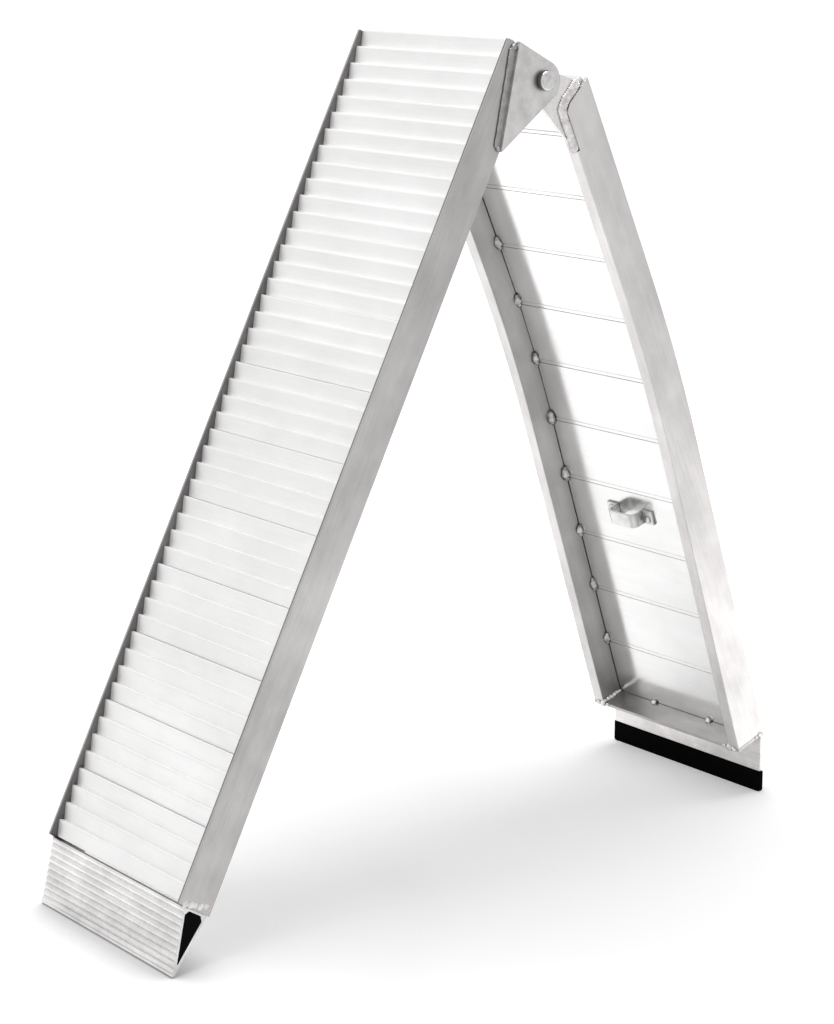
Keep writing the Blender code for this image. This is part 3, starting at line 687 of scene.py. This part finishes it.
# studio: the floor's glow keeps it white away from the ramp's shadow
studio = {
    "floor": 0.82,
    "floorHalf": 30,
    "nearGlow": 0.194,
    "farGlow": 0.66,
    "glowCentre": (0.10, -1.0, 0.0),
    "glowStretch": (1.9, 1.0, 1.0),
    "glowRange": (0.98, 3.21),
    "feetGlow": [((-0.42, -0.02, 0.0), 0.15), ((0.46, 0.0, 0.0), 0.08)],
    "feetReach": 0.32,
    "fadeCentre": (0.0, -0.30, 0.0),
    "fadeRange": (0.30, 2.0),
    "floorFade": 0.45,
    "contactReach": 0.12,
    "contactSamples": 16,
    "contactShare": 0.40,
    "contactRange": (0.55, 0.97),
    "contactFront": (-0.53, -0.44),
    "skyBright": 1.0,
    "skyDim": 0.80,
    "skyFill": 0.56,
    "brightSide": Vector((-0.60, 0.76, 0.25)).normalized(),
    "brightRange": (-0.7, 0.3),
    "cardPlace": (0.95, -0.80, 0.004),
    "cardHalf": 0.55,
    "cardLight": 1.6,
    "overheadPower": 80.0,
    "overheadSize": 1.7,
    "overheadPlace": (0.05, 0.20, 3.6),
    "overheadAim": (0.02, 0.0, 0.0),
}


def towardsBright(tree, direction):
    # 0 on the studio's dim side, 1 on its bright side
    dot = vectorMath(tree, "DOT_PRODUCT", direction, studio["brightSide"])
    return spread(tree, dot.outputs["Value"], 0.0, 1.0, *studio["brightRange"])


def shinyRay(tree, rays):
    # 1 where the studio is seen in a reflection
    return combine(tree, "MAXIMUM", rays.outputs["Is Glossy Ray"], rays.outputs["Is Transmission Ray"])


def distanceFrom(tree, place, centre):
    return vectorMath(tree, "DISTANCE", place, centre).outputs["Value"]


def makeWorld():
    world = bpy.data.worlds.new("studio")
    bpy.context.scene.world = world
    world.use_nodes = True
    tree = world.node_tree
    tree.nodes.clear()
    rays = tree.nodes.new("ShaderNodeLightPath")
    coordinate = tree.nodes.new("ShaderNodeTexCoord")
    bright = towardsBright(tree, coordinate.outputs["Generated"])
    sky = spread(tree, bright, studio["skyDim"], studio["skyBright"], 0.0, 1.0)
    fill = spread(tree, shinyRay(tree, rays), studio["skyFill"], 1.0, 0.0, 1.0)
    level = combine(tree, "MULTIPLY", sky, fill)
    level = combine(tree, "MAXIMUM", level, rays.outputs["Is Camera Ray"])
    light = addNode(tree, "ShaderNodeBackground", Color=(1, 1, 1, 1))
    tree.links.new(level, light.inputs["Strength"])
    out = tree.nodes.new("ShaderNodeOutputWorld")
    tree.links.new(light.outputs["Background"], out.inputs["Surface"])


def addSheet(name, size, place):
    # a flat square that lies in the studio
    bm = bmesh.new()
    bmesh.ops.create_grid(bm, x_segments=1, y_segments=1, size=size, matrix=Matrix.Translation(place))
    return addObject(name, bm)


def bareMaterial(sheet, name):
    material = bpy.data.materials.new(name)
    material.use_nodes = True
    material.node_tree.nodes.clear()
    sheet.data.materials.append(material)
    return material.node_tree


def floorGlow(tree, place):
    stretched = vectorMath(tree, "MULTIPLY", place, studio["glowStretch"]).outputs["Vector"]
    away = distanceFrom(tree, stretched, studio["glowCentre"])
    glow = spread(tree, away, studio["nearGlow"], studio["farGlow"], *studio["glowRange"])
    for foot, extra in studio["feetGlow"]:
        away = distanceFrom(tree, place, foot)
        glow = combine(tree, "ADD", glow, spread(tree, away, extra, 0.0, 0.0, studio["feetReach"]))
    return glow


def floorKept(tree, place):
    # metal sees the far floor fade on the dim side
    away = distanceFrom(tree, place, studio["fadeCentre"])
    far = spread(tree, away, 0.0, 1.0, *studio["fadeRange"])
    direction = vectorMath(tree, "NORMALIZE", place).outputs["Vector"]
    dimmed = oneMinus(tree, towardsBright(tree, direction))
    faded = combine(tree, "MULTIPLY", combine(tree, "MULTIPLY", far, dimmed), studio["floorFade"])
    return oneMinus(tree, faded)


def floorTouched(tree, place):
    # the thin shadow in front of the wedge, along the edge that touches the floor
    contact = addNode(tree, "ShaderNodeAmbientOcclusion", Distance=studio["contactReach"])
    contact.samples = studio["contactSamples"]
    inFront = spread(tree, separate(tree, place)["X"], 1.0, 0.0, *studio["contactFront"])
    share = spread(tree, contact.outputs["AO"], studio["contactShare"], 1.0, *studio["contactRange"])
    return oneMinus(tree, combine(tree, "MULTIPLY", oneMinus(tree, share), inFront))


def makeFloor():
    floor = addSheet("studio_floor", studio["floorHalf"], (0, 0, 0))
    tree = bareMaterial(floor, "pale floor")
    place = tree.nodes.new("ShaderNodeTexCoord").outputs["Object"]
    rays = tree.nodes.new("ShaderNodeLightPath")
    touched = floorTouched(tree, place)
    glow = combine(tree, "MULTIPLY", floorGlow(tree, place), touched)
    shiny = combine(tree, "MULTIPLY", shinyRay(tree, rays), floorKept(tree, place))
    seen = combine(tree, "MAXIMUM", rays.outputs["Is Camera Ray"], shiny)
    emission = addNode(tree, "ShaderNodeEmission", Color=(1, 1, 1, 1))
    tree.links.new(combine(tree, "MULTIPLY", glow, seen), emission.inputs["Strength"])
    diffuse = tree.nodes.new("ShaderNodeBsdfDiffuse")
    tree.links.new(scaled(tree, (studio["floor"],) * 3, touched), diffuse.inputs["Color"])
    both = tree.nodes.new("ShaderNodeAddShader")
    out = tree.nodes.new("ShaderNodeOutputMaterial")
    tree.links.new(diffuse.outputs["BSDF"], both.inputs[0])
    tree.links.new(emission.outputs["Emission"], both.inputs[1])
    tree.links.new(both.outputs["Shader"], out.inputs["Surface"])


def makeReflector():
    # a white card by the tailgate's foot that shows only in reflections
    card = addSheet("studio_reflector", studio["cardHalf"], studio["cardPlace"])
    card.visible_camera = False
    card.visible_diffuse = False
    card.visible_shadow = False
    tree = bareMaterial(card, "white card")
    light = addNode(tree, "ShaderNodeEmission", Color=(1, 1, 1, 1), Strength=studio["cardLight"])
    out = tree.nodes.new("ShaderNodeOutputMaterial")
    tree.links.new(light.outputs["Emission"], out.inputs["Surface"])


def addSoftbox():
    place, aim = Vector(studio["overheadPlace"]), Vector(studio["overheadAim"])
    lamp = bpy.data.lights.new("overhead_softbox", "AREA")
    lamp.shape = "SQUARE"
    lamp.size = studio["overheadSize"]
    lamp.energy = studio["overheadPower"]
    softbox = bpy.data.objects.new("overhead_softbox", lamp)
    softbox.location = place
    softbox.rotation_euler = (aim - place).to_track_quat("-Z", "Y").to_euler()
    bpy.context.scene.collection.objects.link(softbox)


makeWorld()
makeFloor()
makeReflector()
addSoftbox()
bpy.context.scene.view_settings.view_transform = "Standard"

lens = {
    "length": 87.645,
    "sensor": 36,
    "place": (-2.05742, -2.5214, 1.2690),
    "turn": (76.277, 0.155, -39.128),
}
camera = bpy.data.objects.new("camera", bpy.data.cameras.new("camera"))
bpy.context.scene.collection.objects.link(camera)
camera.data.lens = lens["length"]
camera.data.sensor_width = lens["sensor"]
camera.location = lens["place"]
camera.rotation_euler = [math.radians(angle) for angle in lens["turn"]]
bpy.context.scene.camera = camera
print("studio and camera")
